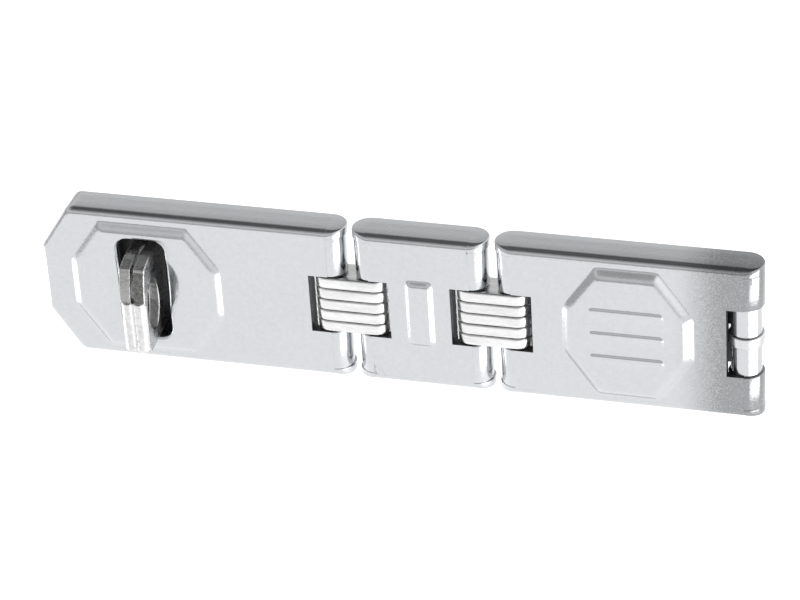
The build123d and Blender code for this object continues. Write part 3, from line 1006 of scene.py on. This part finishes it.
GALVANISED = metal("galvanised_steel", (0.6, 0.6, 0.6), 0.3,
                   [("cells", 420.0, EVEN, 0.15, 0.12),
                    ("noise", 900.0, EVEN, 0.7, 0.2)], (1300.0, 0.3, 0.0003))
# Painted shade: the links' insides, the notch walls and the staple plate are plated like the rest, but are
# coloured dark to stand for the shade they lie in.
SHADE_PAINTED_INSIDE = metal("inside_painted_shade", (0.16, 0.16, 0.165), 0.5,
                    [("noise", 300.0, EVEN, 0.3, 0.2),
                     ("noise", 1500.0, EVEN, 0.3, 0.2)], (1500.0, 0.3, 0.0003))
SHEARED = metal("sheared_edge", (0.36, 0.36, 0.355), 0.4,
                [("noise", 900.0, (1.0, 1.0, 0.3), 0.5, 0.2),
                 ("noise", 3000.0, EVEN, 0.5, 0.2)], (1800.0, 0.5, 0.0003))
TORN = metal("torn_edge", (0.16, 0.16, 0.155), 0.42,
             [("noise", 1100.0, EVEN, 1.6, 0.3),
              ("noise", 3000.0, EVEN, 0.6, 0.2)], (1500.0, 0.8, 0.0005))


def add_piece(piece, body, node, slot, *finishes):
    """Finishes go by the material numbers of the piece's faces."""
    numbers = [face.material_index for face in piece.data.polygons]
    piece.data.materials.clear()
    for finish in finishes:
        piece.data.materials.append(finish)
    piece.data.polygons.foreach_set("material_index", numbers)
    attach(piece, body)
    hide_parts(node)


# ---------- Studio ----------
def camera():
    yaw, pitch = math.radians(CAMERA_YAW), math.radians(CAMERA_PITCH)
    tilt = math.radians(CAMERA_ROLL)
    forward = Vector((-math.sin(yaw) * math.cos(pitch), math.cos(yaw) * math.cos(pitch), -math.sin(pitch)))
    right = Vector((math.cos(yaw), math.sin(yaw), 0.0))
    up = right.cross(forward)
    turned_right = right * math.cos(tilt) + up * math.sin(tilt)
    turned_up = up * math.cos(tilt) - right * math.sin(tilt)
    data = bpy.data.cameras.new("camera")
    data.sensor_width = 36.0
    data.lens = CAMERA_LENS
    data.clip_end = 20.0
    obj = bpy.data.objects.new("camera", data)
    rotation = Matrix((turned_right, turned_up, -forward)).transposed()
    obj.matrix_world = Matrix.Translation(CAMERA_TARGET - forward * CAMERA_DISTANCE) @ rotation.to_4x4()
    bpy.context.scene.collection.objects.link(obj)
    bpy.context.scene.camera = obj


def area_light(name, place, size, watts):
    data = bpy.data.lights.new(name, "AREA")
    data.shape = "RECTANGLE"
    data.size, data.size_y = size
    data.energy = watts
    obj = bpy.data.objects.new(name, data)
    obj.location = place
    obj.rotation_euler = (LIGHT_TARGET - Vector(place)).to_track_quat("-Z", "Y").to_euler()
    bpy.context.scene.collection.objects.link(obj)


def floor():
    mesh = bmesh.new()
    corners = ((-1, -1), (1, -1), (1, 1), (-1, 1))
    mesh.faces.new([mesh.verts.new((x * FLOOR_HALF, y * FLOOR_HALF, FLOOR_Z)) for x, y in corners])
    data = bpy.data.meshes.new("floor")
    mesh.to_mesh(data)
    mesh.free()
    obj = bpy.data.objects.new("floor", data)
    material = bpy.data.materials.new("floor")
    material.use_nodes = True
    shader = material.node_tree.nodes["Principled BSDF"]
    shader.inputs["Base Color"].default_value = (FLOOR_TONE,) * 3 + (1.0,)
    shader.inputs["Roughness"].default_value = 0.9
    shader.inputs["Emission Color"].default_value = (1.0, 1.0, 1.0, 1.0)
    shader.inputs["Emission Strength"].default_value = FLOOR_GLOW
    data.materials.append(material)
    bpy.context.scene.collection.objects.link(obj)


def studio_world():
    """Soft room: pale round the horizon, brightest to the right, dark overhead."""
    world = bpy.data.worlds.new("studio")
    world.use_nodes = True
    bpy.context.scene.world = world
    nodes, links = world.node_tree.nodes, world.node_tree.links
    direction = nodes.new("ShaderNodeTexCoord").outputs["Generated"]
    parts = nodes.new("ShaderNodeSeparateXYZ")
    links.new(direction, parts.inputs[0])
    ramp = nodes.new("ShaderNodeValToRGB")
    stops = ramp.color_ramp.elements
    stops[0].position, stops[0].color = 0.0, (SKY_LOW,) * 3 + (1.0,)
    stops[1].position, stops[1].color = 1.0, (SKY_TOP,) * 3 + (1.0,)
    for position, level in SKY_STOPS:
        stop = stops.new(position)
        stop.color = (level,) * 3 + (1.0,)
    links.new(parts.outputs["Z"], ramp.inputs["Fac"])
    side = nodes.new("ShaderNodeMapRange")
    side.inputs["From Min"].default_value = SKY_SIDE[0]
    side.inputs["From Max"].default_value = SKY_SIDE[1]
    side.inputs["To Min"].default_value = 1.0
    side.inputs["To Max"].default_value = SKY_SIDE[2]
    links.new(parts.outputs["X"], side.inputs["Value"])
    background = nodes["Background"]
    links.new(ramp.outputs["Color"], background.inputs["Color"])
    links.new(side.outputs["Result"], background.inputs["Strength"])


# ---------- Build ----------
add_piece(slotted_link(), "slotted_link", "slotted_link", "plated_sheet", PLATED, SHADE_PAINTED_INSIDE)
add_piece(middle_link(), "middle_link", "middle_link", "plated_sheet", PLATED, SHADE_PAINTED_INSIDE)
add_piece(end_link(), "end_link", "end_link", "plated_sheet", PLATED_END, SHADE_PAINTED_INSIDE)
for connector, first, second in (("connector_a", "a", "b"), ("connector_b", "c", "d")):
    for index in range(1, 6):
        node = f"{connector}_plate_{index}"
        plate = lamination(node, PINS[first], PINS[second])
        add_piece(plate, connector, node, "lamination_steel", LAMINATED)
add_piece(eye(), "staple", "staple_eye", "galvanised_steel", GALVANISED, SHEARED, TORN)
add_piece(ring_body(), "hinge_plate", "hinge_ring", "pin_steel", PIN_STEEL)
# The staple plate takes the dark inside finish: painted shade behind the slot.
for name, finish in (("hinge_plate", PLATED), ("hinge_pin", PIN_STEEL), ("staple_plate", SHADE_PAINTED_INSIDE),
                     *((f"link_pin_{letter}", PIN_STEEL) for letter in "abcd")):
    node = frame["nodes"][name]
    node.data.materials.clear()
    node.data.materials.append(finish)

area_light("right_strip", (0.55, -0.22, -0.28), (0.5, 0.25), 1.3)
area_light("left_strip", (-0.72, 0.05, -0.28), (0.5, 0.25), 1.0)
area_light("low_strip", (0.42, -0.46, -0.4), (0.3, 0.3), 0.6)
floor()
studio_world()
camera()
bpy.context.scene.view_settings.view_transform = "Standard"
